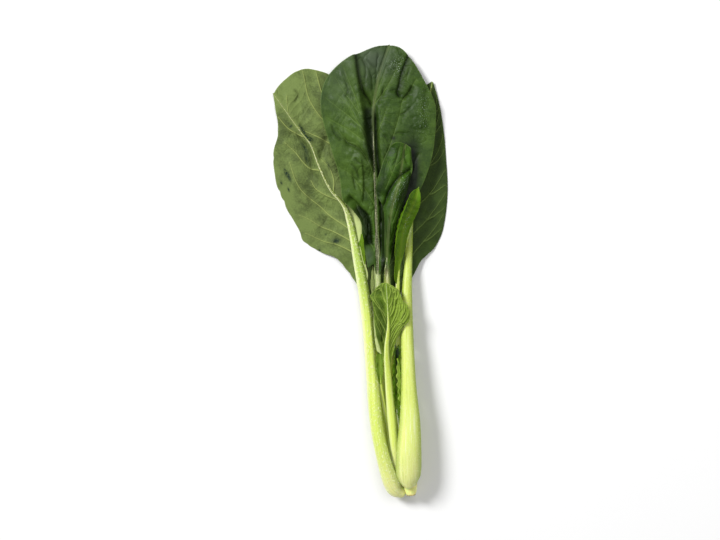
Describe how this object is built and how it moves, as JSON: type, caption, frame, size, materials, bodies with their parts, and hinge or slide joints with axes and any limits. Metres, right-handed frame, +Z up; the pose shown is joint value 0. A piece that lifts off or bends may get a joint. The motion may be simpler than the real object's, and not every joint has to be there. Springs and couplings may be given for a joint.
{
  "type": "komatsuna",
  "caption": "Fresh head of leafy greens, cut at the crown and lying flat, with long pale stalks and broad green blades.",
  "frame": {"origin": "under the middle of the head, on the surface that it lies on", "axes": "+Y along the head from the cut crown to the leaf tips, +X to the right as seen from above, +Z up from the surface"},
  "size_m": [0.1104, 0.2838, 0.0226],
  "materials": {
    "crown": "moist cut plant tissue, pale yellow-green",
    "stalk": "smooth waxy stalk, pale yellow-green with fine lengthwise streaks",
    "blade_under": "dull grey-green underside with raised pale veins",
    "blade_upper": "dark green waxy upper face with sunken veins",
    "blade_young": "bright green young leaf with a light sheen"
  },
  "bodies": {
    "root": {"crown": "crown", "outer_left_stalk": "stalk", "outer_left_blade": "blade_under", "broad_centre_stalk": "stalk", "broad_centre_blade": "blade_upper", "spoon_front_stalk": "stalk", "spoon_front_blade": "blade_under", "folded_inner_stalk": "stalk", "folded_inner_blade": "blade_upper", "rolled_inner_stalk": "stalk", "rolled_inner_blade": "blade_young", "young_front_stalk": "stalk", "young_front_blade": "blade_young", "heart_left_stalk": "stalk", "heart_left_blade": "blade_young", "heart_right_stalk": "stalk", "heart_right_blade": "blade_young"}
  },
  "joints": []
}
